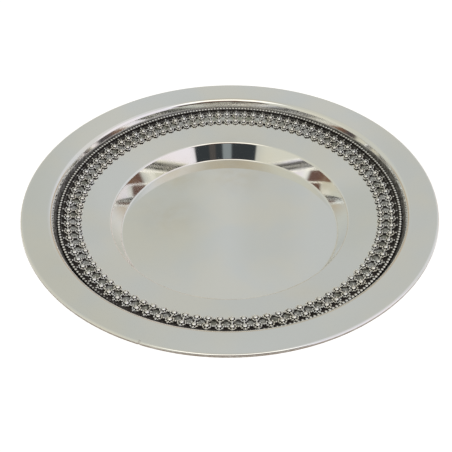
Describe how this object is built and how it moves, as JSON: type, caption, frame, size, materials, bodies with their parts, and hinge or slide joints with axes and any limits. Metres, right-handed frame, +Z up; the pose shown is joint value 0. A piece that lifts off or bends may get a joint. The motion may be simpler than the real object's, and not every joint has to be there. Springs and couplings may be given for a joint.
{
  "type": "presentation plate",
  "caption": "Shallow round silver plate with a flat well, a wire-edged sloping rim and a blackened track of rosettes and beaded wire, for offering small things at a ceremony.",
  "frame": {"origin": "middle of the flat underside, on the plate's axis", "axes": "+Z up along the plate's axis; +X and +Y are in the plane the plate rests on, with a rosette of each row on +X"},
  "size_m": [0.1514, 0.1514, 0.0189],
  "materials": {
    "body_silver": "polished sterling silver, lightly tarnished",
    "edge_wire_silver": "polished sterling silver, lightly tarnished",
    "blackened_silver": "oxidised sterling silver, satin",
    "beaded_wire_silver": "polished sterling silver with blackened hollows",
    "outer_ring_silver": "polished sterling silver with blackened hollows",
    "outer_boss_silver": "polished sterling silver",
    "inner_ring_silver": "polished sterling silver with blackened hollows",
    "inner_boss_silver": "polished sterling silver",
    "link_silver": "polished sterling silver with blackened hollows"
  },
  "bodies": {
    "root": {"plate_body": "body_silver", "rim_edge_wire": "edge_wire_silver", "track_backing_strip": "blackened_silver", "beaded_wire": "beaded_wire_silver", "outer_granule_rings": "outer_ring_silver", "outer_rosette_bosses": "outer_boss_silver", "inner_granule_rings": "inner_ring_silver", "inner_rosette_bosses": "inner_boss_silver", "outer_neighbour_granules": "link_silver", "inner_neighbour_granules": "link_silver", "row_link_granules": "link_silver", "wire_link_granules": "link_silver"}
  },
  "joints": []
}
